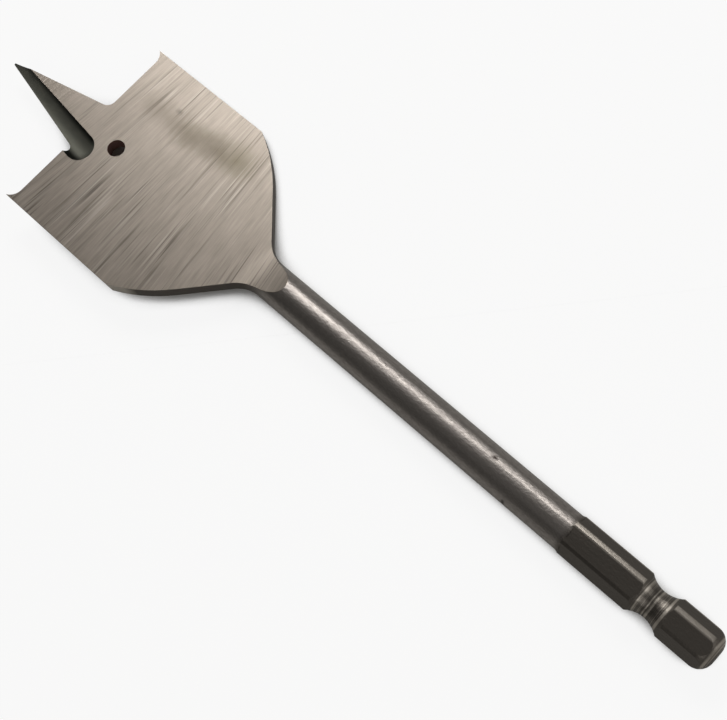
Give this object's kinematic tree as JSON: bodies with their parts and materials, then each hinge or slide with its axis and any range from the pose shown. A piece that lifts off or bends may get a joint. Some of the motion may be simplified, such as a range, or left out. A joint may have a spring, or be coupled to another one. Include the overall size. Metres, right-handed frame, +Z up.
{
  "type": "spade drill bit",
  "caption": "Flat spade bit for boring wood, with a fluted centre point, cutting lips and spurs, a pull hole and a round shank ending in a grooved hex.",
  "frame": {"origin": "on the table under the middle of the bit's length, below the shank's axis", "axes": "+X along the shank's axis towards the point, +Z up from the table the bit lies on, +Y to the side of the raised half of the blade"},
  "size_m": [0.16, 0.0376, 0.0066],
  "materials": {
    "steel": "ground blade, satin darker shank"
  },
  "bodies": {
    "root": {"spade_bit": "steel"}
  },
  "joints": []
}
